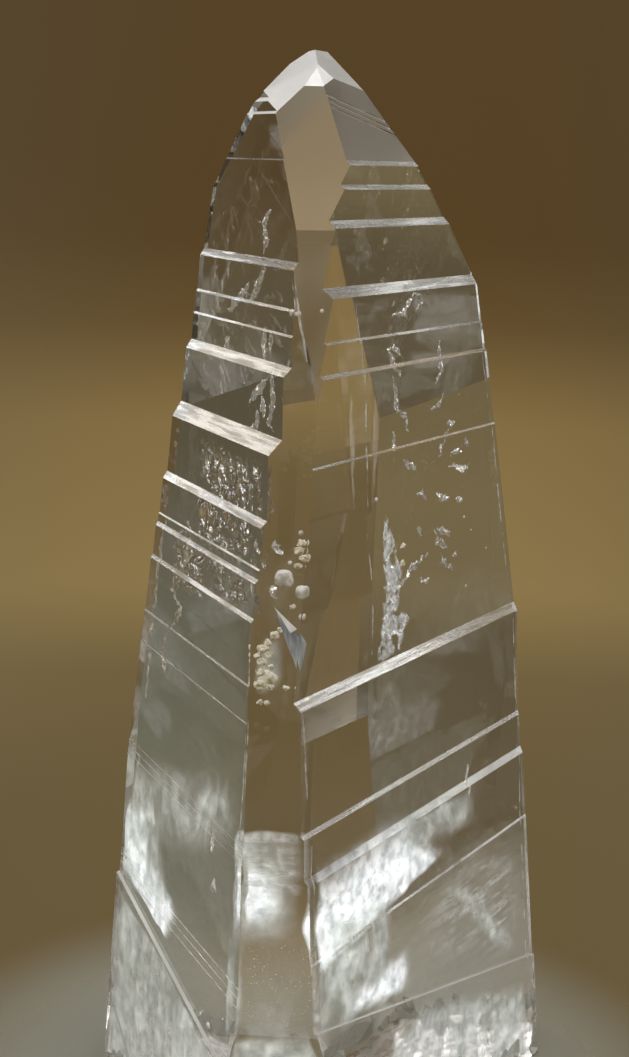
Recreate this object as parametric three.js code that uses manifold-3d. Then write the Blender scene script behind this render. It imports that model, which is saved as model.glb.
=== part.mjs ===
import * as THREE from 'three';
import { mergeVertices } from 'three/addons/utils/BufferGeometryUtils.js';
import Module from 'manifold-3d';

// Quartz crystal: one natural six-sided point, tapering in plates and ledges, broken off flat at the foot.
// Millimetres. +Z runs up the crystal's long axis, and the axis meets the flat base at the origin.
// A face is placed by its azimuth, in degrees from +X towards +Y, and by its distance from the axis.

// Driving dimensions
const HEIGHT = 227; // base to tip
const LEDGE_RISE = 1.27; // height gained for each millimetre that a growth ledge steps in
const REACH = 400; // size of a cutting solid, well beyond the whole crystal

// A prism face climbs from its foot in plates, each leaning in by so much for a millimetre of height,
// and ledges, each stepping in by so many millimetres at the crystal's own slope.
const plate = (top, lean) => ({ top, lean });
const ledge = (step) => ({ step });

const PRISM_FACES = {
  front: { azimuth: -90, foot: 52.9, climb: [plate(HEIGHT, 0.12)] },
  right: {
    azimuth: -30,
    foot: 34.4,
    climb: [
      plate(58.3, 0.106), ledge(0.3),
      plate(73.6, 0.1), ledge(1),
      plate(82.5, 0.085), ledge(0.6),
      plate(106.7, 0.085), ledge(1.35),
      plate(151.3, 0.012), ledge(0.3),
      plate(167.5, 0.012), ledge(0.5),
      plate(173.6, 0.02), ledge(0.35),
      plate(181.8, 0.02), ledge(1.5),
      plate(194.3, 0.02), ledge(1.1),
      plate(201.2, 0.02), ledge(0.7),
      plate(205.6, 0.02), ledge(0.7),
      plate(HEIGHT, 0.5),
    ],
  },
  backRight: {
    azimuth: 30,
    foot: 62.8,
    climb: [plate(84, 0.056), plate(108, 0), plate(184, 0.262), plate(HEIGHT, 0.85)],
  },
  back: {
    azimuth: 90,
    foot: 53,
    climb: [plate(172, 0.1), ledge(0.6), plate(HEIGHT, 0.05)],
  },
  backLeft: {
    azimuth: 150,
    foot: 43.5,
    climb: [
      plate(80, 0.048), plate(112, 0.16), plate(147, 0.135), plate(189, 0.122),
      plate(200.5, 0.33), plate(216, 0.98), plate(218.4, 1.5),
      plate(224, 0.15), plate(226.5, 0.7), plate(HEIGHT, 4),
    ],
  },
  left: {
    azimuth: 210,
    foot: 33.7,
    climb: [
      plate(49.6, 0.065), ledge(0.1),
      plate(51.4, 0.065), ledge(0.1),
      plate(53.2, 0.065), ledge(0.1),
      plate(77.2, 0.058), ledge(0.1),
      plate(78.8, 0.058), ledge(0.1),
      plate(80.4, 0.058), ledge(0.1),
      plate(104, 0.055), ledge(0.15),
      plate(111, 0.055), ledge(0.25),
      plate(123, 0.055), ledge(0.55),
      plate(130.2, 0.05), ledge(0.6),
      plate(132.6, 0.05), ledge(0.25),
      plate(140.4, 0.05), ledge(1.1),
      plate(153.7, 0.05), ledge(2.3),
      plate(167.9, 0.05), ledge(1.4),
      plate(175, 0.02), ledge(0.3),
      plate(179.5, 0.02), ledge(0.4),
      plate(186.9, 0.02), ledge(1.1),
      plate(206.2, 0), ledge(0.2),
      plate(214.5, 0), ledge(0.4),
      plate(216.8, 0), ledge(0.6),
      plate(HEIGHT, 0.02),
    ],
  },
};

// A facet is one plane, placed by the height at which it would meet the axis. The foot's broken face
// leans outwards as it climbs, so it meets the axis below the base.
const FACETS = {
  kiteLower: { azimuth: -61.5, lean: 0.22, apex: 304 },
  kiteUpper: { azimuth: -61.5, lean: 0.5, apex: 242.4 },
  backTop: { azimuth: 94, lean: 0.45, apex: 237.5 },
  capLeft: { azimuth: -113, lean: 1.36, apex: 229.4 },
  capFront: { azimuth: -62, lean: 0.84, apex: 233.3 },
  capRight: { azimuth: -36, lean: 0.79, apex: 230.7 },
  capFarRight: { azimuth: -25, lean: 0.95, apex: 228.2 },
  footBreak: { azimuth: -90, lean: -0.22, apex: -171.7 },
};

// Rough skin left at the foot of two faces, ending upwards in a slanting step.
const FOOT_SKINS = [
  { face: 'left', proud: 0.8, top: 42.5, dip: -0.219 },
  { face: 'right', proud: 0.7, top: 36.6, dip: -0.233 },
];

// Fine slanting growth lines below the cap, scored across the right face's shoulder. Each end is given
// along the face from the foot of the axis, and up it.
const SHOULDER_LINES = {
  width: 0.45,
  start: { along: -9.4, height: 216.1 },
  end: { along: 10.2, height: 211.4 },
  spacing: 1.1,
  count: 3,
};

// Crumbled foot: lumps broken out of the lowest edge, spread round it by the golden angle. The lumps of
// a corner are spread over a part of the edge only, and climb higher.
const GOLDEN_ANGLE = 137.508;
const CRUMBS = {
  size: [2.6, 6.2], // radius of the smallest and the largest lump
  bite: 0.42, // share of a lump's radius that reaches into the crystal
  edge: { middle: 0, spread: 360, top: 4, count: 46 },
  rightCorner: { middle: -3, spread: 44, top: 9, count: 13 },
  leftCorner: { middle: 181, spread: 36, top: 7, count: 9 },
};

// Chip on the edge between the front and right faces.
const EDGE_CHIP = { azimuth: -84.7, distance: 43.4, height: 99.8, size: 3.2 };

const wasm = await Module();
wasm.setup();

// Closed three.js geometry to a solid that can be joined and cut.
function solidOf(geometry) {
  geometry.deleteAttribute('normal');
  geometry.deleteAttribute('uv');
  const merged = mergeVertices(geometry, 1e-4);
  return new wasm.Manifold(new wasm.Mesh({
    numProp: 3,
    vertProperties: new Float32Array(merged.attributes.position.array),
    triVerts: new Uint32Array(merged.index.array),
  }));
}

function geometryOf(solid) {
  const mesh = solid.getMesh();
  const geometry = new THREE.BufferGeometry();
  geometry.setAttribute('position', new THREE.BufferAttribute(mesh.vertProperties, 3));
  geometry.setIndex(new THREE.BufferAttribute(mesh.triVerts, 1));
  geometry.computeVertexNormals();
  return geometry;
}

function outward(azimuth) {
  const turn = THREE.MathUtils.degToRad(azimuth);
  return new THREE.Vector3(Math.cos(turn), Math.sin(turn), 0);
}

// Corners of a face's flight of plates and ledges, as distance from the axis against height.
function flightCorners({ foot, climb }, proud = 0) {
  let distance = foot + proud;
  let height = 0;
  const corners = [new THREE.Vector2(distance, height)];
  for (const stage of climb) {
    const rise = stage.step === undefined ? stage.top - height : stage.step * LEDGE_RISE;
    distance -= stage.step ?? stage.lean * rise;
    height += rise;
    corners.push(new THREE.Vector2(distance, height));
  }
  return corners;
}

// Everything behind a face: its outline, drawn in the upright plane of its azimuth, run sideways.
function behindFace(azimuth, corners) {
  const outline = [...corners, new THREE.Vector2(-REACH, HEIGHT), new THREE.Vector2(-REACH, 0)];
  const slab = new THREE.ExtrudeGeometry(new THREE.Shape(outline), { depth: 2 * REACH, bevelEnabled: false });
  const normal = outward(azimuth);
  const up = new THREE.Vector3(0, 0, 1);
  const along = normal.clone().cross(up);
  slab.translate(0, 0, -REACH);
  slab.applyMatrix4(new THREE.Matrix4().makeBasis(normal, up, along));
  return solidOf(slab);
}

function facetCorners({ lean, apex }) {
  return [0, HEIGHT].map((height) => new THREE.Vector2(lean * (apex - height), height));
}

// Everything below a line that slants across a face.
function belowLine(azimuth, top, dip) {
  const outline = [
    new THREE.Vector2(-REACH, -REACH),
    new THREE.Vector2(REACH, -REACH),
    new THREE.Vector2(REACH, top + dip * REACH),
    new THREE.Vector2(-REACH, top - dip * REACH),
  ];
  const slab = new THREE.ExtrudeGeometry(new THREE.Shape(outline), { depth: 2 * REACH, bevelEnabled: false });
  const normal = outward(azimuth);
  const up = new THREE.Vector3(0, 0, 1);
  slab.translate(0, 0, -REACH);
  slab.applyMatrix4(new THREE.Matrix4().makeBasis(up.clone().cross(normal), up, normal));
  return solidOf(slab);
}

function growPrism() {
  const flights = Object.entries(PRISM_FACES).map(([name, face]) => {
    let flight = behindFace(face.azimuth, flightCorners(face));
    for (const skin of FOOT_SKINS.filter((each) => each.face === name)) {
      const raised = behindFace(face.azimuth, flightCorners(face, skin.proud));
      flight = flight.add(raised.intersect(belowLine(face.azimuth, skin.top, skin.dip)));
    }
    return flight;
  });
  return flights.reduce((whole, flight) => whole.intersect(flight));
}

function cutFacets(crystal) {
  return Object.values(FACETS).reduce(
    (whole, facet) => whole.intersect(behindFace(facet.azimuth, facetCorners(facet))),
    crystal,
  );
}

// A point on a prism face, given along the face and up it.
function onFace(face, along, height) {
  const corners = flightCorners(face);
  const upper = corners.findIndex((corner) => corner.y >= height);
  const share = (height - corners[upper - 1].y) / (corners[upper].y - corners[upper - 1].y);
  const distance = THREE.MathUtils.lerp(corners[upper - 1].x, corners[upper].x, share);
  const normal = outward(face.azimuth);
  const sideways = new THREE.Vector3(-normal.y, normal.x, 0);
  return normal.multiplyScalar(distance).addScaledVector(sideways, along).setZ(height);
}

// One scored line: a thin square bar laid corner-down along the surface.
function scoredLine(start, end, width) {
  const bar = new THREE.BoxGeometry(width, width, start.distanceTo(end));
  bar.rotateZ(Math.PI / 4);
  bar.lookAt(end.clone().sub(start));
  const middle = start.clone().lerp(end, 0.5);
  bar.translate(middle.x, middle.y, middle.z);
  return solidOf(bar);
}

function scoreShoulder(crystal) {
  const { width, start, end, spacing, count } = SHOULDER_LINES;
  let scored = crystal;
  for (let index = 0; index < count; index += 1) {
    const [from, to] = [start, end].map(
      ({ along, height }) => onFace(PRISM_FACES.right, along, height + index * spacing),
    );
    scored = scored.subtract(scoredLine(from, to, width));
  }
  return scored;
}

// Distance from the axis to the foot's outside, along an azimuth.
function footDistance(azimuth) {
  const broken = { azimuth: FACETS.footBreak.azimuth, foot: FACETS.footBreak.lean * FACETS.footBreak.apex };
  const reaches = [...Object.values(PRISM_FACES), broken].map((face) => {
    const share = outward(azimuth).dot(outward(face.azimuth));
    return share > 0 ? face.foot / share : REACH;
  });
  return Math.min(...reaches);
}

// One lump: a rough ball, turned its own way.
function lump({ azimuth, distance, height, size }, turn) {
  const ball = new THREE.IcosahedronGeometry(size);
  ball.scale(1, 1.3, 0.8);
  ball.rotateX(turn);
  ball.rotateY(2 * turn);
  const centre = outward(azimuth).multiplyScalar(distance);
  ball.translate(centre.x, centre.y, height);
  return solidOf(ball);
}

function fraction(value) {
  return value - Math.floor(value);
}

function crumble(crystal, { middle, spread, top, count }) {
  let crumbled = crystal;
  for (let index = 1; index <= count; index += 1) {
    const share = fraction((index * GOLDEN_ANGLE) / 360);
    const size = THREE.MathUtils.lerp(...CRUMBS.size, fraction(index * Math.SQRT2));
    const azimuth = middle + (share - 0.5) * spread;
    const distance = footDistance(azimuth) + size * (1 - CRUMBS.bite);
    const height = top * fraction(index * Math.sqrt(3));
    crumbled = crumbled.subtract(lump({ azimuth, distance, height, size }, index));
  }
  return crumbled;
}

function breakFoot(crystal) {
  const chipped = crystal.subtract(lump(EDGE_CHIP, 1));
  return [CRUMBS.edge, CRUMBS.rightCorner, CRUMBS.leftCorner].reduce(crumble, chipped);
}

const quartz = new THREE.MeshStandardMaterial({ color: 0xdcd8ce, roughness: 0.05, metalness: 0 });

const crystal = new THREE.Mesh(geometryOf(breakFoot(scoreShoulder(cutFacets(growPrism())))), quartz);
crystal.name = 'crystal';

const part = new THREE.Group();
part.add(crystal);

export default part;
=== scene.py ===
import math
import random

import bmesh
import bpy
from mathutils import Matrix, Vector, geometry, noise
from mathutils.bvhtree import BVHTree


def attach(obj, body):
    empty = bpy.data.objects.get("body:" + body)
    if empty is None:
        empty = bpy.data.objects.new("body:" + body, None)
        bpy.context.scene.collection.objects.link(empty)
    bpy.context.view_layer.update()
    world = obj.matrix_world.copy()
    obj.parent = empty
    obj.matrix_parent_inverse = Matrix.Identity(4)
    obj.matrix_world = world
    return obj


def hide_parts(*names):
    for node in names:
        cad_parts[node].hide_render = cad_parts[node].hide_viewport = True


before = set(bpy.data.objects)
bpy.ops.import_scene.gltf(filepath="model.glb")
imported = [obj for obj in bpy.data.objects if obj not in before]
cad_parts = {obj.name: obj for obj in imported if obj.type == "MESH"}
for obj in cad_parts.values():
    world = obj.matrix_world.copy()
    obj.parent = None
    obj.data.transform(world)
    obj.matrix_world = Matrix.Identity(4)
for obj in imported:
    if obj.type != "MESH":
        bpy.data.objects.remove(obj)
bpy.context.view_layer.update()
mm = 0.001  # the values below are in millimetres, the scene is in metres


# Small helpers for objects and nodes
def newPiece(name, bm, material):
    mesh = bpy.data.meshes.new(name)
    bm.to_mesh(mesh)
    bm.free()
    piece = bpy.data.objects.new(name, mesh)
    bpy.context.scene.collection.objects.link(piece)
    mesh.materials.append(material)
    return piece


def newTree(owner):  # the empty node tree of a material or of the world
    owner.use_nodes = True
    tree = owner.node_tree
    tree.nodes.clear()
    return tree


def addNode(tree, kind, sockets=None, **settings):
    node = tree.nodes.new(kind)
    for name, value in settings.items():
        setattr(node, name, value)
    for name, value in (sockets or {}).items():
        node.inputs[name].default_value = value
    return node


def addRamp(tree, source, stops):
    ramp = addNode(tree, "ShaderNodeValToRGB")
    elements = ramp.color_ramp.elements
    while len(elements) < len(stops):
        elements.new(1.0)
    for element, (place, tone) in zip(elements, stops):
        element.position = place
        element.color = (*tone, 1.0) if isinstance(tone, tuple) else (tone, tone, tone, 1.0)
    tree.links.new(source, ramp.inputs["Fac"])
    return ramp.outputs["Color"]


# Camera at the photograph's place and angle
cameraView = {
    "place": (22.09, -319.24, 206.8),
    "towards": (-0.06246, 0.97205, -0.22633),
    "up": (-0.03881, 0.22424, 0.97376),
    "lens": 54.33,
    "sensor": 36.0,
    "clipStart": 5.0,
}


def setCamera():
    data = bpy.data.cameras.new("photoCamera")
    data.lens = cameraView["lens"]
    data.sensor_width = cameraView["sensor"]
    data.clip_start = cameraView["clipStart"] * mm
    camera = bpy.data.objects.new("photoCamera", data)
    bpy.context.scene.collection.objects.link(camera)
    back = -Vector(cameraView["towards"]).normalized()
    right = Vector(cameraView["up"]).cross(back).normalized()
    turn = Matrix((right, back.cross(right), back)).transposed().to_4x4()
    camera.matrix_world = Matrix.Translation(Vector(cameraView["place"]) * mm) @ turn
    bpy.context.scene.camera = camera
    print("camera set")


# Plain warm backdrop, pale floor with painted shade under the crystal, and soft lamps
stageLook = {
    "backdrop": [  # height of the direction, 0 straight down to 1 straight up, then the tone
        (0.00, (0.340, 0.235, 0.115)),
        (0.17, (0.340, 0.235, 0.115)),
        (0.22, (0.130, 0.095, 0.045)),
        (0.27, (0.140, 0.100, 0.044)),
        (0.32, (0.148, 0.106, 0.047)),
        (0.345, (0.165, 0.118, 0.050)),
        (0.37, (0.265, 0.184, 0.072)),
        (0.42, (0.235, 0.157, 0.058)),
        (0.45, (0.125, 0.077, 0.027)),
        (0.475, (0.093, 0.054, 0.018)),
        (1.00, (0.105, 0.072, 0.042)),
    ],
    "sides": {  # tones that the backdrop takes on to each side, spread is the cosines of start and full
        "right": {"turn": 38.0, "rise": 0.0, "spread": (0.62, 0.93), "tones": [
            (0.20, (0.240, 0.260, 0.215)),
            (0.25, (0.160, 0.170, 0.130)),
            (0.28, (0.120, 0.130, 0.100)),
            (0.32, (0.108, 0.106, 0.080)),
            (0.36, (0.092, 0.078, 0.050)),
            (0.50, (0.070, 0.056, 0.036)),
        ]},
        "farRight": {"turn": 20.0, "rise": -13.3, "spread": (0.870, 0.916), "tones": [
            (0.24, (0.110, 0.085, 0.046)),
            (0.28, (0.120, 0.086, 0.042)),
            (0.32, (0.098, 0.062, 0.025)),
            (0.50, (0.070, 0.056, 0.036)),
        ]},
        "left": {"turn": 146.0, "rise": 0.0, "spread": (0.62, 0.93), "tones": [
            (0.25, (0.115, 0.092, 0.052)),
            (0.30, (0.105, 0.080, 0.042)),
            (0.33, (0.180, 0.140, 0.070)),
            (0.36, (0.190, 0.145, 0.070)),
            (0.39, (0.170, 0.128, 0.062)),
            (0.50, (0.090, 0.070, 0.040)),
        ]},
    },
    "floorRadius": 260.0,
    "floorSegments": 96,
    "floorRoughness": 0.6,
    "floorDrop": 0.4,  # air under the broken base
    "floorFade": (45.0, 105.0),  # distances from the axis where the floor starts and ends fading out
    "floorTonesAndPaintedShade": [  # distance from the axis as a share of the radius, then the tone, darker near the axis as painted shade under the crystal
        (0.00, (0.19, 0.18, 0.13)),  # painted shade under the crystal
        (0.17, (0.22, 0.22, 0.17)),
        (0.40, (0.37, 0.40, 0.36)),
        (1.00, (0.56, 0.60, 0.55)),
    ],
    "lampAim": 110.0,  # height on the axis that every lamp points at
    "lightBounces": 32,  # enough for light to cross the clear quartz
}
softLamps = {  # glow is the radiance
    "overhead": {"place": (0, 60, 900), "size": (760, 760), "glow": 3.4},
    "ledgeLeft": {"place": (-490, 432, 378), "size": (230, 150), "glow": 4.2},
    "ledgeRight": {"place": (563, 285, 415), "size": (190, 126), "glow": 6.0},
    "ledgeLowLeft": {"place": (-628, 262, 240), "size": (120, 110), "glow": 1.3},
    "ledgeLowRight": {"place": (580, 355, 285), "size": (110, 80), "glow": 1.6},
    "ledgeFootRight": {"place": (640, 205, 315), "size": (60, 40), "glow": 3.0},
    "ledgeTop": {"place": (388, 438, 505), "size": (110, 110), "glow": 2.0},
    "tipLeft": {"place": (-194, 280, 732), "size": (200, 200), "glow": 0.4},
    "tipFront": {"place": (249, 43, 773), "size": (120, 120), "glow": 9.0},
    "tipRight": {"place": (320, 370, 640), "size": (90, 90), "glow": 4.5},
    "frontFill": {"place": (-500, -620, 520), "size": (500, 500), "glow": 1.9},
}


def setBackdrop():
    world = bpy.data.worlds.new("warmBackdrop")
    bpy.context.scene.world = world
    tree = newTree(world)
    direction = addNode(tree, "ShaderNodeTexCoord")
    parts = addNode(tree, "ShaderNodeSeparateXYZ")
    height = addNode(tree, "ShaderNodeMapRange", {"From Min": -1.0, "From Max": 1.0})
    tree.links.new(direction.outputs["Generated"], parts.inputs["Vector"])
    tree.links.new(parts.outputs["Z"], height.inputs["Value"])
    tone = addRamp(tree, height.outputs["Result"], stageLook["backdrop"])
    for side in stageLook["sides"].values():
        turn = math.radians(side["turn"])
        rise = math.radians(side["rise"])
        facing = addNode(tree, "ShaderNodeVectorMath", operation="DOT_PRODUCT")
        facing.inputs[1].default_value = (
            math.cos(rise) * math.cos(turn), math.cos(rise) * math.sin(turn), math.sin(rise))
        start, full = side["spread"]
        weight = addNode(tree, "ShaderNodeMapRange", {"From Min": start, "From Max": full},
                         interpolation_type="SMOOTHSTEP")
        mix = addNode(tree, "ShaderNodeMixRGB")
        tree.links.new(addRamp(tree, height.outputs["Result"], side["tones"]), mix.inputs["Color2"])
        tree.links.new(direction.outputs["Generated"], facing.inputs[0])
        tree.links.new(facing.outputs["Value"], weight.inputs["Value"])
        tree.links.new(weight.outputs["Result"], mix.inputs["Fac"])
        tree.links.new(tone, mix.inputs["Color1"])
        tone = mix.outputs["Color"]
    glow = addNode(tree, "ShaderNodeBackground")
    tree.links.new(tone, glow.inputs["Color"])
    out = addNode(tree, "ShaderNodeOutputWorld")
    tree.links.new(glow.outputs["Background"], out.inputs["Surface"])


def makeFloor():
    material = bpy.data.materials.new("paleFloor")
    tree = newTree(material)
    place = addNode(tree, "ShaderNodeTexCoord")
    reach = addNode(tree, "ShaderNodeVectorMath", operation="LENGTH")
    near, far = (edge * mm for edge in stageLook["floorFade"])
    fade = addNode(tree, "ShaderNodeMapRange", {"From Min": near, "From Max": far},
                   interpolation_type="SMOOTHSTEP")
    share = addNode(tree, "ShaderNodeMapRange", {"From Max": stageLook["floorRadius"] * mm})
    surface = addNode(tree, "ShaderNodeBsdfPrincipled", {
        "Roughness": stageLook["floorRoughness"]})
    clear = addNode(tree, "ShaderNodeBsdfTransparent")
    mix = addNode(tree, "ShaderNodeMixShader")
    out = addNode(tree, "ShaderNodeOutputMaterial")
    tree.links.new(place.outputs["Object"], reach.inputs[0])
    tree.links.new(reach.outputs["Value"], fade.inputs["Value"])
    tree.links.new(fade.outputs["Result"], mix.inputs["Fac"])
    tree.links.new(reach.outputs["Value"], share.inputs["Value"])
    # floor tone: pale floor colour, darker near the axis as painted shade under the crystal
    tone = addRamp(tree, share.outputs["Result"], stageLook["floorTonesAndPaintedShade"])
    tree.links.new(tone, surface.inputs["Base Color"])
    tree.links.new(surface.outputs["BSDF"], mix.inputs[1])
    tree.links.new(clear.outputs["BSDF"], mix.inputs[2])
    tree.links.new(mix.outputs["Shader"], out.inputs["Surface"])
    bm = bmesh.new()
    bmesh.ops.create_circle(bm, cap_ends=True, segments=stageLook["floorSegments"],
                            radius=stageLook["floorRadius"] * mm)
    bmesh.ops.translate(bm, verts=bm.verts, vec=(0, 0, -stageLook["floorDrop"] * mm))
    floor = newPiece("floor", bm, material)


def hangLamps():
    for name, lamp in softLamps.items():
        data = bpy.data.lights.new(name, "AREA")
        data.shape = "RECTANGLE"
        data.size = lamp["size"][0] * mm
        data.size_y = lamp["size"][1] * mm
        data.energy = lamp["glow"] * math.pi * data.size * data.size_y  # watts for that radiance
        light = bpy.data.objects.new(name, data)
        bpy.context.scene.collection.objects.link(light)
        light.location = Vector(lamp["place"]) * mm
        aim = Vector((0, 0, stageLook["lampAim"] * mm)) - light.location
        light.rotation_euler = aim.to_track_quat("-Z", "Y").to_euler()
        light.visible_camera = False


def setStage():
    setBackdrop()
    makeFloor()
    hangLamps()
    scene = bpy.context.scene
    scene.view_settings.view_transform = "Standard"
    scene.cycles.max_bounces = stageLook["lightBounces"]
    scene.cycles.transmission_bounces = stageLook["lightBounces"]
    scene.cycles.transparent_max_bounces = stageLook["lightBounces"]
    print("stage set")


# The quartz point: clear plates, brushed growth ledges, a worn tip and a frosted, broken foot
quartzLook = {
    "ior": 1.544,
    "absorbs": (0.90, 0.86, 0.80),  # the tone that light drifts to inside
    "absorption": 2.0,
    "finishes": {  # roughness by noise or by height, growth lines as (strength, lines along, lines up); the kite, neck, shoulder and base tints are painted shade and painted reflection, not the quartz's own colour
        "clear": {"tintAndPaintedShade": (0.985, 0.985, 0.98), "clarity": 1.0, "roughness": (0.0, 0.0),
                  "lines": (0.02, 60.0, 900.0)},
        "ledge": {"tintAndPaintedShade": (0.985, 0.985, 0.98), "clarity": 0.9, "roughness": (0.06, 0.42),
                  "lines": (0.25, 80.0, 1500.0)},
        # kite and neck: the warm tint is painted reflection of the warm surroundings seen in these facets
        "kite": {"tintAndPaintedShade": (1.0, 0.90, 0.70), "clarity": 0.87, "roughness": (0.30, 0.30),
                 "lines": (0.004, 60.0, 200.0)},
        "neck": {"tintAndPaintedShade": (1.0, 0.92, 0.76), "clarity": 0.91, "roughness": (0.08, 0.30),
                 "lines": (0.004, 60.0, 200.0), "rise": (172.0, 194.0)},
        # shoulder: the dark brown tint is painted shade
        "shoulder": {"tintAndPaintedShade": (0.47, 0.39, 0.26), "clarity": 1.0, "roughness": (0.36, 0.42),
                     "lines": (0.02, 60.0, 900.0)},
        "scored": {"tintAndPaintedShade": (0.985, 0.985, 0.98), "clarity": 1.0, "roughness": (0.35, 0.45),
                   "lines": (0.02, 60.0, 900.0)},
        "tip": {"tintAndPaintedShade": (0.90, 0.91, 0.89), "clarity": 0.6, "roughness": (0.32, 0.45),
                "lines": (0.10, 700.0, 700.0)},
        "chip": {"tintAndPaintedShade": (0.97, 0.98, 0.98), "clarity": 0.15, "roughness": (0.30, 0.40),
                 "lines": (0.05, 700.0, 700.0)},
        "crumbled": {"tintAndPaintedShade": (0.80, 0.81, 0.78), "clarity": 0.5, "roughness": (0.4, 0.6),
                     "lines": (0.4, 260.0, 500.0)},
        # base: the tan tint is painted shade of the shaded floor seen through the base
        "base": {"tintAndPaintedShade": (0.80, 0.70, 0.55), "clarity": 0.9, "roughness": (0.2, 0.4),
                 "lines": (0.4, 260.0, 500.0)},
    },
    "grainDetail": 4.0,
    "grainSpan": (0.35, 0.65),  # noise values between which the roughness goes from least to most
    "lineDepth": 0.2,
    "mergeGap": 0.002,
    "flatAngle": 0.03,  # in degrees, triangles that lie flatter to each other are one face
    "footTop": 24.0,
    "crumbArea": 60.0,  # largest broken facet of the foot, in square millimetres
    "tipFoot": 214.0,
    "kiteTurn": (-61.5, 3.0),  # direction around the axis and how far it may be off, in degrees
    "shoulderFoot": 200.0,
    "chipArea": 11.0,  # largest chip or scored line, in square millimetres
    "scoredTop": 84.0,
    "ledgeFoot": 80.0,
    "levelSlope": 0.9,  # these slopes are the upward share of a face's outward direction
    "kiteSlope": 0.4,
    "shoulderSlope": 0.3,
    "ledgeSlope": (0.5, 0.75),
}


def quartzMaterial(name, finish):
    material = bpy.data.materials.new(name + "Quartz")
    tree = newTree(material)
    strength, along, up = finish["lines"]
    place = addNode(tree, "ShaderNodeTexCoord")
    turn = addNode(tree, "ShaderNodeMapping", {"Scale": (along, along, up)})
    grain = addNode(tree, "ShaderNodeTexNoise", {"Scale": 1.0, "Detail": quartzLook["grainDetail"]})
    bump = addNode(tree, "ShaderNodeBump", {
        "Strength": strength, "Distance": quartzLook["lineDepth"] * mm})
    # Base Color takes the finish's tint, which on the kite, neck, shoulder and base is painted shade and
    # painted reflection
    surface = addNode(tree, "ShaderNodeBsdfPrincipled", {
        "Base Color": (*finish["tintAndPaintedShade"], 1.0), "IOR": quartzLook["ior"],
        "Transmission Weight": finish["clarity"], "Roughness": finish["roughness"][0]})
    inside = addNode(tree, "ShaderNodeVolumeAbsorption", {
        "Color": (*quartzLook["absorbs"], 1.0), "Density": quartzLook["absorption"]})
    out = addNode(tree, "ShaderNodeOutputMaterial")
    tree.links.new(place.outputs["Object"], turn.inputs["Vector"])
    tree.links.new(turn.outputs["Vector"], grain.inputs["Vector"])
    tree.links.new(grain.outputs["Fac"], bump.inputs["Height"])
    tree.links.new(bump.outputs["Normal"], surface.inputs["Normal"])
    smooth, rough = finish["roughness"]
    if smooth < rough:
        source = grain.outputs["Fac"]
        low, high = quartzLook["grainSpan"]
        if "rise" in finish:  # rougher towards the upper level
            height = addNode(tree, "ShaderNodeSeparateXYZ")
            tree.links.new(place.outputs["Object"], height.inputs["Vector"])
            source = height.outputs["Z"]
            low, high = (level * mm for level in finish["rise"])
        amount = addNode(tree, "ShaderNodeMapRange", {
            "From Min": low, "From Max": high, "To Min": smooth, "To Max": rough})
        tree.links.new(source, amount.inputs["Value"])
        tree.links.new(amount.outputs["Result"], surface.inputs["Roughness"])
    tree.links.new(surface.outputs["BSDF"], out.inputs["Surface"])
    tree.links.new(inside.outputs["Volume"], out.inputs["Volume"])
    return material


def finishOf(face):
    height = face.calc_center_median().z / mm
    slope = face.normal.z
    level = quartzLook["levelSlope"]
    gentle, steep = quartzLook["ledgeSlope"]
    isSliver = face.calc_area() < quartzLook["chipArea"] * mm * mm
    isLedge = gentle < slope < steep
    facesFront = face.normal.y < 0.0
    if slope < -level:
        return "base"
    if height < quartzLook["ledgeFoot"] and slope > level:
        return "crumbled"
    if height > quartzLook["tipFoot"] and slope > gentle:
        return "chip" if isSliver else "tip"
    if height < quartzLook["footTop"] and face.calc_area() < quartzLook["crumbArea"] * mm * mm:
        return "crumbled"
    if height < quartzLook["scoredTop"] and isSliver and isLedge:
        return "scored"
    turn = math.degrees(math.atan2(face.normal.y, face.normal.x))
    kiteTurn, kiteSpread = quartzLook["kiteTurn"]
    if abs(turn - kiteTurn) < kiteSpread and slope > 0.0:
        return "kite" if slope > quartzLook["kiteSlope"] else "neck"
    isShoulder = quartzLook["shoulderSlope"] < abs(slope) < gentle
    if height > quartzLook["shoulderFoot"] and facesFront and isShoulder:
        return "chip" if isSliver else "shoulder"
    if height > quartzLook["ledgeFoot"] and facesFront and isLedge:
        return "ledge"
    return "clear"


def makeQuartzPoint():
    bm = bmesh.new()
    bm.from_mesh(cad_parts["crystal"].data)
    bmesh.ops.remove_doubles(bm, verts=bm.verts, dist=quartzLook["mergeGap"] * mm)
    bmesh.ops.dissolve_limit(bm, angle_limit=math.radians(quartzLook["flatAngle"]),
                             verts=bm.verts, edges=bm.edges)
    finishes = list(quartzLook["finishes"])
    for face in bm.faces:
        face.material_index = finishes.index(finishOf(face))
    materials = [quartzMaterial(name, finish) for name, finish in quartzLook["finishes"].items()]
    piece = newPiece("quartzPoint", bm, materials[0])
    for material in materials[1:]:
        piece.data.materials.append(material)
    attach(piece, "root")
    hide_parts("crystal")
    print("quartz point made")


# Veils and inclusions inside the quartz, each placed where the photograph shows it
photoFrame = {"width": 629, "height": 1057}  # pixels, and the places seen below are in them
insideClear = 0.2  # least quartz over an inclusion
crumpleNoise = {"seed": 5, "octaves": 3, "steps": (3.1, 1.7, 2.3)}  # steps set each crumple apart
noise.seed_set(crumpleNoise["seed"])  # the same crumples in every run


def sightLine(pixel):
    towards = Vector(cameraView["towards"]).normalized()
    right = towards.cross(Vector(cameraView["up"])).normalized()
    up = right.cross(towards)
    focal = cameraView["lens"] / cameraView["sensor"] * photoFrame["height"]
    across = pixel[0] - photoFrame["width"] / 2
    rise = photoFrame["height"] / 2 - pixel[1]
    return (towards * focal + right * across + up * rise).normalized()


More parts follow.
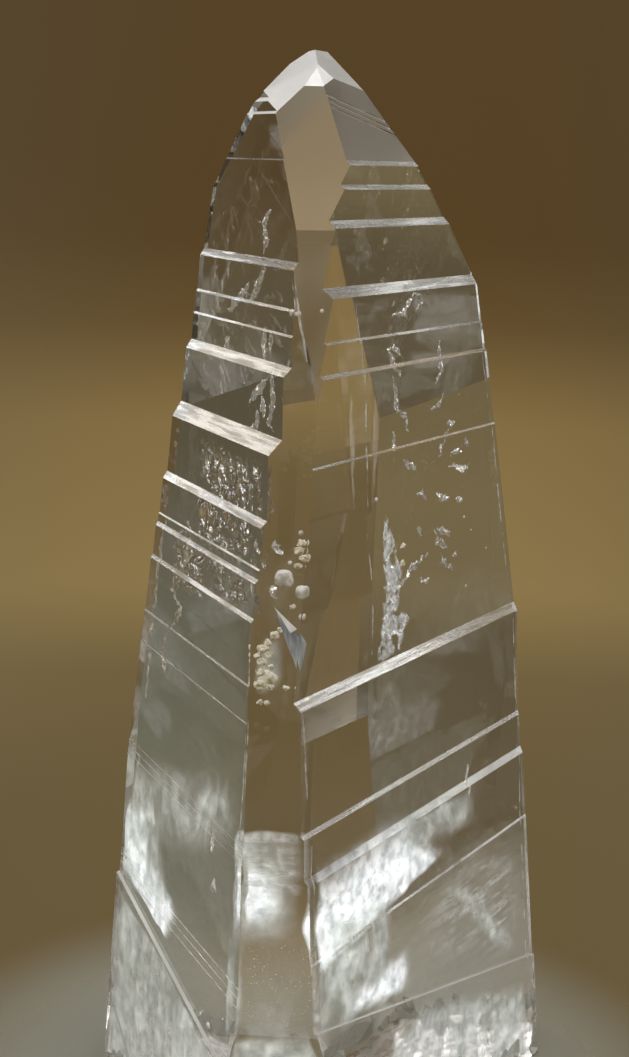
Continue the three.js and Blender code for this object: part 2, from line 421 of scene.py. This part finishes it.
def growthSkin():
    bm = bmesh.new()
    bm.from_mesh(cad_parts["crystal"].data)
    skin = BVHTree.FromBMesh(bm)
    bm.free()
    return skin


quartzSkin = growthSkin()


def insideAt(pixel, depth):  # a point so many millimetres in, along the bent line of sight
    sight = sightLine(pixel)
    place, normal, _, _ = quartzSkin.ray_cast(Vector(cameraView["place"]) * mm, sight)
    ratio = 1.0 / quartzLook["ior"]
    facing = -sight.dot(normal)
    bend = ratio * facing - math.sqrt(1.0 - ratio * ratio * (1.0 - facing * facing))
    inward = (sight * ratio + normal * bend).normalized()
    return place + inward * depth * mm, inward


def crumple(bm, size, amount, seed):
    shift = Vector([seed * step for step in crumpleNoise["steps"]])
    for vert in bm.verts:
        spot = vert.co / (size * mm) + shift
        vert.co += noise.turbulence_vector(spot, crumpleNoise["octaves"], False) * amount * mm


def fadeEdges(bm, corners, fades):  # a veil thins out towards its sides, each over its own reach
    layer = bm.verts.layers.float.new("fade")
    sides = list(zip(corners, corners[1:] + corners[:1], fades))
    for vert in bm.verts:
        share = 1.0
        for start, end, reach in sides:
            gap = (vert.co - geometry.intersect_point_line(vert.co, start, end)[0]).length
            share *= min(1.0, gap / (reach * mm))
        vert[layer] = share * share * (3.0 - 2.0 * share)


def joinInto(whole, bm):
    mesh = bpy.data.meshes.new("part")
    bm.to_mesh(mesh)
    bm.free()
    whole.from_mesh(mesh)
    bpy.data.meshes.remove(mesh)


strandShape = {"cuts": 5, "fineCuts": 2, "endWidth": 0.25}  # share of the width at a ribbon's ends


def addStrand(whole, seen, look, seed):
    bm = bmesh.new()
    spots = [insideAt(pixel, look["depth"]) for pixel in seen]
    verts = [bm.verts.new(place) for place, _ in spots]
    for start, end in zip(verts, verts[1:]):
        bm.edges.new((start, end))
    bmesh.ops.subdivide_edges(bm, edges=bm.edges[:], cuts=strandShape["cuts"])
    start, inward = spots[0]
    along = spots[-1][0] - start
    sideways = along.cross(inward).normalized()
    across = (sideways * look["facing"] + inward * (1.0 - look["facing"])).normalized()
    made = bmesh.ops.extrude_edge_only(bm, edges=bm.edges[:])
    moved = {item for item in made["geom"] if isinstance(item, bmesh.types.BMVert)}
    for vert in bm.verts:
        share = (vert.co - start).dot(along) / along.length_squared
        swell = math.sin(math.pi * min(max(share, 0.0), 1.0))
        taper = strandShape["endWidth"] + (1.0 - strandShape["endWidth"]) * swell
        half = across * look["width"] * mm * taper * 0.5
        vert.co += half if vert in moved else -half
    bmesh.ops.subdivide_edges(bm, edges=bm.edges[:], cuts=strandShape["fineCuts"], use_grid_fill=True)
    bmesh.ops.recalc_face_normals(bm, faces=bm.faces)
    if sum(face.normal.dot(inward) for face in bm.faces) > 0.0:
        bmesh.ops.reverse_faces(bm, faces=bm.faces)  # the ribbon's face is turned to the viewer
    bmesh.ops.solidify(bm, geom=bm.faces[:], thickness=look["thick"] * mm)
    layer = bm.verts.layers.float.new("fade")
    for vert in bm.verts:
        vert[layer] = 1.0
    crumple(bm, look["crumpleSize"], look["crumple"], seed)
    joinInto(whole, bm)


def addSheet(whole, corners, fades, look, seed):
    bm = bmesh.new()
    places = [insideAt(pixel, look["depth"])[0] for pixel in corners]
    bm.faces.new([bm.verts.new(place) for place in places])
    bmesh.ops.subdivide_edges(bm, edges=bm.edges[:], cuts=look["cuts"], use_grid_fill=True)
    bmesh.ops.solidify(bm, geom=bm.faces[:], thickness=look["thick"] * mm)
    fadeEdges(bm, places, fades)
    crumple(bm, look["crumpleSize"], look["crumple"], seed)
    joinInto(whole, bm)


lumpShape = {"subdivisions": 3, "crumpleSize": 0.9}  # crumple size as a share of the radius


def addLump(whole, pixel, depth, radius, roughness, stretch, seed):
    bm = bmesh.new()
    bmesh.ops.create_icosphere(bm, subdivisions=lumpShape["subdivisions"], radius=radius * mm)
    crumple(bm, radius * lumpShape["crumpleSize"], radius * roughness, seed)
    bmesh.ops.scale(bm, verts=bm.verts, vec=stretch)
    bmesh.ops.translate(bm, verts=bm.verts, vec=insideAt(pixel, depth)[0])
    joinInto(whole, bm)


def keepInside(bm):  # nothing pokes out through the faces
    for vert in bm.verts:
        place, normal, _, _ = quartzSkin.find_nearest(vert.co)
        if (vert.co - place).dot(normal) > -insideClear * mm:
            vert.co = place - normal * insideClear * mm


def placeInside(name, whole, material):
    keepInside(whole)
    for face in whole.faces:
        face.smooth = True
    piece = newPiece(name, whole, material)
    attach(piece, "root")
    print(name, "made")


veilGrainDetail = 3.0


def veilMaterial(name, finish):
    material = bpy.data.materials.new(name)
    tree = newTree(material)
    place = addNode(tree, "ShaderNodeTexCoord")
    turn = addNode(tree, "ShaderNodeMapping", {"Scale": finish["scale"]})
    pattern = addNode(tree, "ShaderNodeTexNoise", {
        "Scale": 1.0, "Detail": finish["detail"], "Distortion": finish["distortion"]})
    grain = addNode(tree, "ShaderNodeTexNoise", {
        "Scale": finish["grain"], "Detail": veilGrainDetail})
    # Emission Strength (glow) is painted light: the veils glow in their own tone to stand in for light
    # they would scatter inside the quartz
    surface = addNode(tree, "ShaderNodeBsdfPrincipled", {
        "Metallic": finish["mirror"], "Roughness": finish["roughness"],
        "Emission Strength": finish["glow"]})
    out = addNode(tree, "ShaderNodeOutputMaterial")
    tree.links.new(place.outputs["Object"], turn.inputs["Vector"])
    tree.links.new(turn.outputs["Vector"], pattern.inputs["Vector"])
    tree.links.new(place.outputs["Object"], grain.inputs["Vector"])
    cover = addRamp(tree, pattern.outputs["Fac"], finish["cover"])
    tone = addRamp(tree, grain.outputs["Fac"], finish["tones"])
    fade = addNode(tree, "ShaderNodeAttribute", attribute_name="fade")
    thin = addNode(tree, "ShaderNodeMath", operation="MULTIPLY")
    tree.links.new(cover, thin.inputs[0])
    tree.links.new(fade.outputs["Fac"], thin.inputs[1])
    tree.links.new(thin.outputs["Value"], surface.inputs["Alpha"])
    tree.links.new(tone, surface.inputs["Base Color"])
    tree.links.new(tone, surface.inputs["Emission Color"])
    tree.links.new(surface.outputs["BSDF"], out.inputs["Surface"])
    return material


# Strands: cracks, a milky strip and edge lines that are partly wear and partly painted highlight, each
# chain running through the places it is seen at
crackFinish = {"scale": (600, 600, 600), "detail": 3.0, "distortion": 0.5, "grain": 1400.0,
               "mirror": 1.0, "glow": 0.10, "roughness": 0.16, "cover": [(0.30, 0.0), (0.38, 1.0)],
               "tones": [(0.35, (0.80, 0.80, 0.77)), (0.62, (0.97, 0.97, 0.95))]}
strands = {  # facing is 1 for a ribbon square to the view, 0 for one on edge
    "leftCracks": {
        "look": {"depth": 2.0, "width": 1.9, "facing": 0.8, "thick": 0.05,
                 "crumpleSize": 1.5, "crumple": 0.7},
        "finish": crackFinish,
        "chains": [
            [(271, 208), (264, 224), (267, 240), (264, 254)],
            [(267, 264), (261, 278), (254, 294), (246, 302)],
            [(249, 283), (241, 296), (228, 312)],
            [(266, 328), (263, 344), (265, 360)],
            [(272, 334), (270, 352)],
            [(229, 334), (223, 352)],
            [(268, 378), (260, 389), (248, 402)],
            [(272, 376), (273, 402), (269, 423), (273, 432)],
            [(262, 396), (264, 418)],
            [(258, 412), (256, 425), (249, 430)],
            [(213, 832), (212, 852)],
            [(214, 881), (213, 894)],
        ],
    },
    "healedCracks": {
        "look": {"depth": 9.0, "width": 1.4, "facing": 0.75, "thick": 0.05,
                 "crumpleSize": 1.5, "crumple": 0.7},
        "finish": crackFinish,
        "chains": [
            [(393, 316), (406, 313), (408, 305), (413, 295), (420, 293), (423, 300), (416, 312)],
            [(388, 336), (393, 347), (403, 358)],
            [(387, 349), (399, 363)],
            [(392, 367), (392, 377), (395, 391), (398, 410), (406, 418), (409, 432)],
            [(393, 434), (395, 450)],
            [(404, 460), (410, 466), (416, 469)],
            [(446, 422), (454, 424)],
            [(465, 437), (468, 447)],
            [(455, 499), (463, 498)],
            [(437, 529), (444, 531), (450, 535)],
            [(418, 526), (422, 536)],
            [(439, 342), (440, 359), (441, 372), (436, 384)],
            [(444, 392), (438, 405), (431, 409)],
            [(448, 429), (443, 443), (438, 457)],
            [(450, 452), (462, 452)],
            [(448, 466), (458, 467), (467, 470), (470, 464)],
            [(417, 494), (422, 492), (427, 499)],
            [(438, 493), (443, 499), (448, 498)],
            [(435, 531), (438, 541), (448, 548)],
            [(440, 555), (445, 563), (453, 569)],
            [(452, 553), (457, 555)],
            [(427, 553), (421, 560), (412, 569), (404, 581), (399, 588)],
            [(420, 578), (423, 582), (431, 580)],
            [(468, 763), (466, 777), (467, 786)],
            [(273, 541), (278, 550), (283, 554)],
            [(271, 585), (274, 594), (279, 598)],
        ],
    },
    "leftWisps": {
        "look": {"depth": 4.0, "width": 2.0, "facing": 0.9, "thick": 0.05,
                 "crumpleSize": 2.0, "crumple": 0.9},
        "finish": {"scale": (420, 420, 300), "detail": 4.0, "distortion": 0.8, "grain": 900.0,
                   "mirror": 0.6, "glow": 0.12, "roughness": 0.25, "cover": [(0.40, 0.0), (0.52, 0.9)],
                   "tones": [(0.35, (0.50, 0.47, 0.38)), (0.65, (0.90, 0.88, 0.80))]},
        "chains": [
            [(189, 521), (192, 532), (188, 549), (185, 564), (176, 575)],
            [(174, 578), (172, 588), (180, 607), (175, 622), (166, 636)],
            [(166, 636), (162, 653), (166, 673)],
            [(165, 520), (157, 575), (151, 634), (146, 696)],
            [(141, 742), (136, 780), (130, 826)],
        ],
    },
    # edge lines: pale glowing ribbons just under the faces, painted highlights along the edges together
    # with some chipping wear
    "edgeWearAndPaintedHighlights": {
        "look": {"depth": 0.5, "width": 0.45, "facing": 1.0, "thick": 0.04,
                 "crumpleSize": 3.0, "crumple": 0.1},
        "finish": {"scale": (300, 300, 220), "detail": 3.0, "distortion": 0.0, "grain": 1200.0,
                   "mirror": 0.0, "glow": 0.25, "roughness": 0.35, "cover": [(0.42, 0.0), (0.55, 0.75)],
                   "tones": [(0.35, (0.50, 0.49, 0.45)), (0.65, (0.86, 0.86, 0.82))]},
        "chains": [
            [(482, 352), (492, 427), (499, 500), (510, 602)],
            [(513, 618), (516, 712)],
            [(517, 726), (520, 818), (525, 930), (530, 1036)],
            [(292, 278), (300, 322), (308, 362)],
            [(303, 716), (307, 790), (309, 832)],
            [(312, 846), (314, 900), (317, 1000)],
            [(331, 957), (360, 934), (392, 910)],
            [(249, 716), (243, 790), (238, 850), (232, 960)],
            [(356, 305), (362, 349), (366, 392), (366, 435), (368, 507)],
            [(367, 535), (371, 571), (373, 611), (372, 655)],
        ],
    },
}


def makeStrands():
    for name, group in strands.items():
        whole = bmesh.new()
        for seed, seen in enumerate(group["chains"]):
            addStrand(whole, seen, group["look"], seed)
        placeInside(name, whole, veilMaterial(name, group["finish"]))


# Sheets: lacy, cloudy, hazy and feathery veils, crumpled where they lie behind the faces
sheets = {  # a veil is the four corners it is seen at, then the reach over which each side fades
    "laceVeil": {
        "look": {"depth": 5.0, "cuts": 60, "crumpleSize": 2.4, "crumple": 0.8, "thick": 0.05},
        "finish": {"scale": (120, 120, 120), "detail": 3.0, "distortion": 1.0, "grain": 800.0,
                   "mirror": 1.0, "glow": 0.02, "roughness": 0.12, "cover": [(0.38, 0.0), (0.50, 0.95)],
                   "tones": [(0.35, (0.75, 0.76, 0.74)), (0.65, (0.95, 0.96, 0.95))]},
        "veils": [
            ([(202, 438), (262, 463), (257, 577), (194, 533)], (3.0, 1.5, 4.0, 4.0)),
            ([(178, 520), (256, 568), (252, 616), (168, 590)], (4.0, 1.5, 4.0, 4.0)),
        ],
    },
    "cloudVeil": {
        "look": {"depth": 4.0, "cuts": 30, "crumpleSize": 9.0, "crumple": 1.0, "thick": 0.05},
        "finish": {"scale": (130, 130, 170), "detail": 9.0, "distortion": 1.4, "grain": 380.0,
                   "mirror": 0.0, "glow": 0.75, "roughness": 0.5, "cover": [(0.26, 0.25), (0.52, 1.0)],
                   "tones": [(0.36, (0.60, 0.64, 0.66)), (0.58, (0.96, 0.98, 0.99))]},
        "veils": [
            ([(313, 862), (404, 802), (446, 852), (318, 978)], (16.0, 6.0, 1.5, 0.4)),
            ([(346, 985), (412, 941), (412, 987), (338, 1034)], (6.0, 5.0, 4.0, 6.0)),
            ([(123, 864), (140, 838), (182, 915), (167, 942)], (2.0, 4.0, 5.0, 0.4)),
            ([(128, 796), (146, 796), (152, 895), (121, 872)], (5.0, 4.0, 4.0, 0.4)),
            ([(238, 856), (272, 862), (294, 930), (235, 924)], (4.0, 6.0, 5.0, 0.4)),
        ],
    },
    "hazeVeil": {
        "look": {"depth": 3.0, "cuts": 24, "crumpleSize": 8.0, "crumple": 0.8, "thick": 0.05},
        "finish": {"scale": (130, 130, 75), "detail": 8.0, "distortion": 1.0, "grain": 300.0,
                   "mirror": 0.0, "glow": 0.40, "roughness": 0.5, "cover": [(0.30, 0.10), (0.70, 0.80)],
                   "tones": [(0.35, (0.50, 0.53, 0.50)), (0.65, (0.88, 0.91, 0.88))]},
        "veils": [
            ([(136, 752), (242, 768), (240, 862), (126, 852)], (8.5, 10.0, 10.5, 1.0)),
            ([(126, 800), (160, 800), (170, 920), (119, 880)], (4.0, 5.0, 3.0, 0.4)),
            ([(118, 884), (150, 938), (216, 1066), (112, 1066)], (0.6, 0.6, 0.6, 0.4)),
            ([(236, 832), (311, 834), (314, 950), (232, 948)], (0.6, 8.0, 6.0, 0.4)),
            ([(229, 930), (246, 928), (244, 1036), (226, 1036)], (3.0, 2.5, 2.0, 0.4)),
            ([(318, 960), (372, 935), (358, 1030), (322, 1040)], (3.0, 6.0, 3.0, 0.4)),
            ([(420, 1000), (526, 980), (528, 1058), (380, 1064)], (5.0, 0.5, 0.5, 5.0)),
            ([(395, 822), (470, 782), (478, 822), (400, 870)], (2.0, 5.0, 4.0, 4.0)),
            ([(328, 925), (392, 895), (398, 985), (322, 1000)], (2.0, 6.0, 5.0, 0.5)),
            ([(440, 878), (466, 878), (522, 948), (498, 956)], (4.0, 3.0, 4.0, 3.0)),
            ([(236, 930), (313, 930), (317, 1062), (230, 1062)], (16.0, 12.0, 0.5, 12.0)),
            ([(231, 1032), (316, 1032), (318, 1062), (230, 1062)], (2.5, 0.5, 0.5, 0.5)),
            ([(258, 636), (286, 620), (284, 690), (252, 696)], (4.0, 3.5, 3.0, 2.0)),
        ],
    },
    "streakVeil": {
        "look": {"depth": 2.5, "cuts": 16, "crumpleSize": 6.0, "crumple": 0.4, "thick": 0.05},
        "finish": {"scale": (70, 70, 560), "detail": 6.0, "distortion": 0.3, "grain": 500.0,
                   "mirror": 0.0, "glow": 0.30, "roughness": 0.45, "cover": [(0.42, 0.0), (0.66, 0.75)],
                   "tones": [(0.35, (0.50, 0.50, 0.45)), (0.65, (0.90, 0.91, 0.88))]},
        "veils": [
            ([(237, 828), (309, 831), (312, 906), (235, 906)], (1.0, 2.5, 5.0, 0.5)),
            ([(414, 862), (522, 806), (526, 968), (404, 984)], (16.0, 12.0, 16.0, 16.0)),
        ],
    },
    "featherVeil": {
        "look": {"depth": 8.0, "cuts": 40, "crumpleSize": 2.2, "crumple": 1.0, "thick": 0.05},
        "finish": {"scale": (420, 420, 260), "detail": 4.0, "distortion": 1.2, "grain": 900.0,
                   "mirror": 0.7, "glow": 0.28, "roughness": 0.2, "cover": [(0.40, 0.0), (0.50, 0.95)],
                   "tones": [(0.35, (0.55, 0.58, 0.58)), (0.65, (0.95, 0.96, 0.96))]},
        "veils": [
            ([(382, 516), (388, 516), (404, 580), (384, 590)], (0.8, 0.8, 0.8, 0.8)),
            ([(385, 584), (402, 580), (398, 610), (383, 622)], (0.8, 0.8, 0.8, 0.8)),
            ([(384, 612), (412, 614), (400, 650), (376, 664)], (0.8, 0.8, 0.8, 0.8)),
        ],
    },
}


def makeSheets():
    for name, group in sheets.items():
        whole = bmesh.new()
        for seed, (corners, fades) in enumerate(group["veils"]):
            addSheet(whole, corners, fades, group["look"], seed)
        placeInside(name, whole, veilMaterial(name, group["finish"]))


# Bubbles, cream crumbs and fine specks
lumps = {  # a spot is the place it is seen at, its depth and its radius
    "bubbles": {
        "roughness": 0.15,
        "stretch": (1.0, 1.0, 1.0),
        "tones": [(0.25, (0.26, 0.22, 0.14)), (0.55, (0.56, 0.53, 0.46)), (0.80, (0.95, 0.94, 0.90))],
        "spots": [
            ((284, 579), 2.6, 1.75), ((302, 592), 1.6, 1.3), ((304, 617), 0.9, 0.6),
            ((301, 533), 1.0, 0.5), ((290, 563), 2.0, 0.4), ((296, 314), 3.0, 0.45),
            ((322, 311), 3.0, 0.4), ((376, 500), 6.0, 0.5), ((464, 517), 6.0, 0.35),
            ((471, 530), 6.0, 0.3), ((466, 586), 6.0, 0.35), ((486, 548), 6.0, 0.25),
            ((208, 1026), 2.0, 0.8), ((126, 856), 1.2, 0.7),
        ],
    },
    "crumbs": {
        "roughness": 0.65,
        "stretch": (1.1, 1.0, 0.9),
        "tones": [(0.25, (0.24, 0.19, 0.10)), (0.50, (0.60, 0.54, 0.38)), (0.75, (0.95, 0.91, 0.78))],
        "spots": [
            ((280, 630), 3.0, 0.5), ((275, 635), 3.0, 0.8), ((268, 643), 3.0, 0.6), ((263, 649), 3.0, 1.0),
            ((257, 656), 2.5, 0.5), ((269, 655), 3.0, 0.7), ((262, 662), 3.0, 0.8), ((271, 667), 3.0, 0.5),
            ((260, 672), 2.5, 0.7), ((268, 677), 3.0, 1.3), ((261, 684), 2.5, 1.1), ((270, 687), 3.0, 0.6),
            ((260, 702), 2.0, 0.5), ((267, 703), 2.0, 0.5), ((302, 543), 1.4, 0.7), ((299, 551), 1.6, 0.8),
            ((304, 558), 1.3, 0.8), ((298, 566), 1.6, 0.6), ((286, 688), 2.5, 0.5), ((293, 607), 2.0, 0.5),
            ((307, 700), 1.0, 0.6), ((403, 546), 8.0, 0.7), ((403, 564), 8.0, 0.8),
        ],
    },
}
lumpFinish = {
    "grain": 900.0,
    "detail": 4.0,
    "bump": 0.4,
    "bumpDepth": 0.3,
    "paintedTopLight": 0.28,  # how much lighter the upper sides are painted, as painted light from above
    "roughness": 0.25,
    "glow": 0.35,
}
specks = {  # scattered between two opposite corners
    "corners": ((246, 946), (312, 1030)),
    "count": 170,
    "depth": (1.5, 4.0),
    "radius": (0.04, 0.11),
    "roughness": 0.5,
    "stretch": (1.0, 1.0, 1.0),
    "seed": 7,
}


def lumpMaterial(name, tones):
    material = bpy.data.materials.new(name)
    tree = newTree(material)
    place = addNode(tree, "ShaderNodeTexCoord")
    grain = addNode(tree, "ShaderNodeTexNoise", {
        "Scale": lumpFinish["grain"], "Detail": lumpFinish["detail"]})
    bump = addNode(tree, "ShaderNodeBump", {
        "Strength": lumpFinish["bump"], "Distance": lumpFinish["bumpDepth"] * mm})
    shape = addNode(tree, "ShaderNodeNewGeometry")
    parts = addNode(tree, "ShaderNodeSeparateXYZ")
    paintedTopLight = addNode(tree, "ShaderNodeMath", operation="MULTIPLY_ADD")
    paintedTopLight.inputs[1].default_value = lumpFinish["paintedTopLight"]
    # Emission Strength (glow) is painted light: the lumps glow to stand in for light they would gather
    # inside the quartz
    surface = addNode(tree, "ShaderNodeBsdfPrincipled", {
        "Roughness": lumpFinish["roughness"], "Emission Strength": lumpFinish["glow"]})
    out = addNode(tree, "ShaderNodeOutputMaterial")
    tree.links.new(shape.outputs["Normal"], parts.inputs["Vector"])
    tree.links.new(parts.outputs["Z"], paintedTopLight.inputs[0])
    tree.links.new(grain.outputs["Fac"], paintedTopLight.inputs[2])
    # the tone ramp runs over the normal's height plus grain: upper sides painted lighter and lower sides
    # darker, as painted light and painted shade
    tone = addRamp(tree, paintedTopLight.outputs["Value"], tones)
    tree.links.new(place.outputs["Object"], grain.inputs["Vector"])
    tree.links.new(tone, surface.inputs["Base Color"])
    tree.links.new(tone, surface.inputs["Emission Color"])
    tree.links.new(grain.outputs["Fac"], bump.inputs["Height"])
    tree.links.new(bump.outputs["Normal"], surface.inputs["Normal"])
    tree.links.new(surface.outputs["BSDF"], out.inputs["Surface"])
    return material


def addSpecks(whole):
    chance = random.Random(specks["seed"])
    (left, top), (right, bottom) = specks["corners"]
    for seed in range(specks["count"]):
        pixel = (chance.uniform(left, right), chance.uniform(top, bottom))
        depth = chance.uniform(*specks["depth"])
        radius = chance.uniform(*specks["radius"])
        addLump(whole, pixel, depth, radius, specks["roughness"], specks["stretch"], seed)


def makeLumps():
    for name, group in lumps.items():
        whole = bmesh.new()
        for seed, (pixel, depth, radius) in enumerate(group["spots"]):
            addLump(whole, pixel, depth, radius, group["roughness"], group["stretch"], seed)
        if name == "crumbs":
            addSpecks(whole)
        placeInside(name, whole, lumpMaterial(name, group["tones"]))


# Crack flake: a thin three-cornered crack whose silver is painted reflection, with a painted glint along a
# ridge behind the front face
flakes = {  # a corner is the place it is seen at and its depth
    "flakeWithPaintedSheen": {
        "corners": [((276, 613), 1.2), ((307, 644), 0.4), ((300, 674), 0.6)],
        "tones": [(0.35, (0.24, 0.27, 0.29)), (0.65, (0.58, 0.62, 0.63))],
        "glow": 0.25,
    },
    "flakePaintedGlint": {
        "corners": [((274, 608), 0.9), ((297, 629), 0.4), ((291, 633), 0.5)],
        "tones": [(0.35, (0.72, 0.72, 0.68)), (0.65, (0.95, 0.95, 0.92))],
        "glow": 0.35,
    },
}
flakeShape = {"cuts": 7, "thick": 0.15, "crumpleSize": 4.0, "crumple": 0.15, "seed": 3}
flakeFinish = {"turn": (0.0, 0.8, 0.0), "scale": (700, 700, 90), "detail": 3.0,
               "mirror": 0.3, "roughness": 0.28}


def flakeMaterial(name, look):
    material = bpy.data.materials.new(name)
    tree = newTree(material)
    place = addNode(tree, "ShaderNodeTexCoord")
    turn = addNode(tree, "ShaderNodeMapping", {
        "Rotation": flakeFinish["turn"], "Scale": flakeFinish["scale"]})
    grain = addNode(tree, "ShaderNodeTexNoise", {"Scale": 1.0, "Detail": flakeFinish["detail"]})
    # Emission Strength (glow) is painted light: the flake and its ridge glow to stand in for the light the
    # crack reflects
    surface = addNode(tree, "ShaderNodeBsdfPrincipled", {
        "Metallic": flakeFinish["mirror"], "Roughness": flakeFinish["roughness"],
        "Emission Strength": look["glow"]})
    out = addNode(tree, "ShaderNodeOutputMaterial")
    tone = addRamp(tree, grain.outputs["Fac"], look["tones"])
    tree.links.new(place.outputs["Object"], turn.inputs["Vector"])
    tree.links.new(turn.outputs["Vector"], grain.inputs["Vector"])
    tree.links.new(tone, surface.inputs["Base Color"])
    tree.links.new(tone, surface.inputs["Emission Color"])
    tree.links.new(surface.outputs["BSDF"], out.inputs["Surface"])
    return material


def makeFlakes():
    for name, look in flakes.items():
        bm = bmesh.new()
        bm.faces.new([bm.verts.new(insideAt(pixel, depth)[0]) for pixel, depth in look["corners"]])
        bmesh.ops.subdivide_edges(bm, edges=bm.edges[:], cuts=flakeShape["cuts"], use_grid_fill=True)
        bmesh.ops.solidify(bm, geom=bm.faces[:], thickness=flakeShape["thick"] * mm)
        crumple(bm, flakeShape["crumpleSize"], flakeShape["crumple"], flakeShape["seed"])
        placeInside(name, bm, flakeMaterial(name, look))


setCamera()
setStage()
makeQuartzPoint()
makeStrands()
makeSheets()
makeLumps()
makeFlakes()
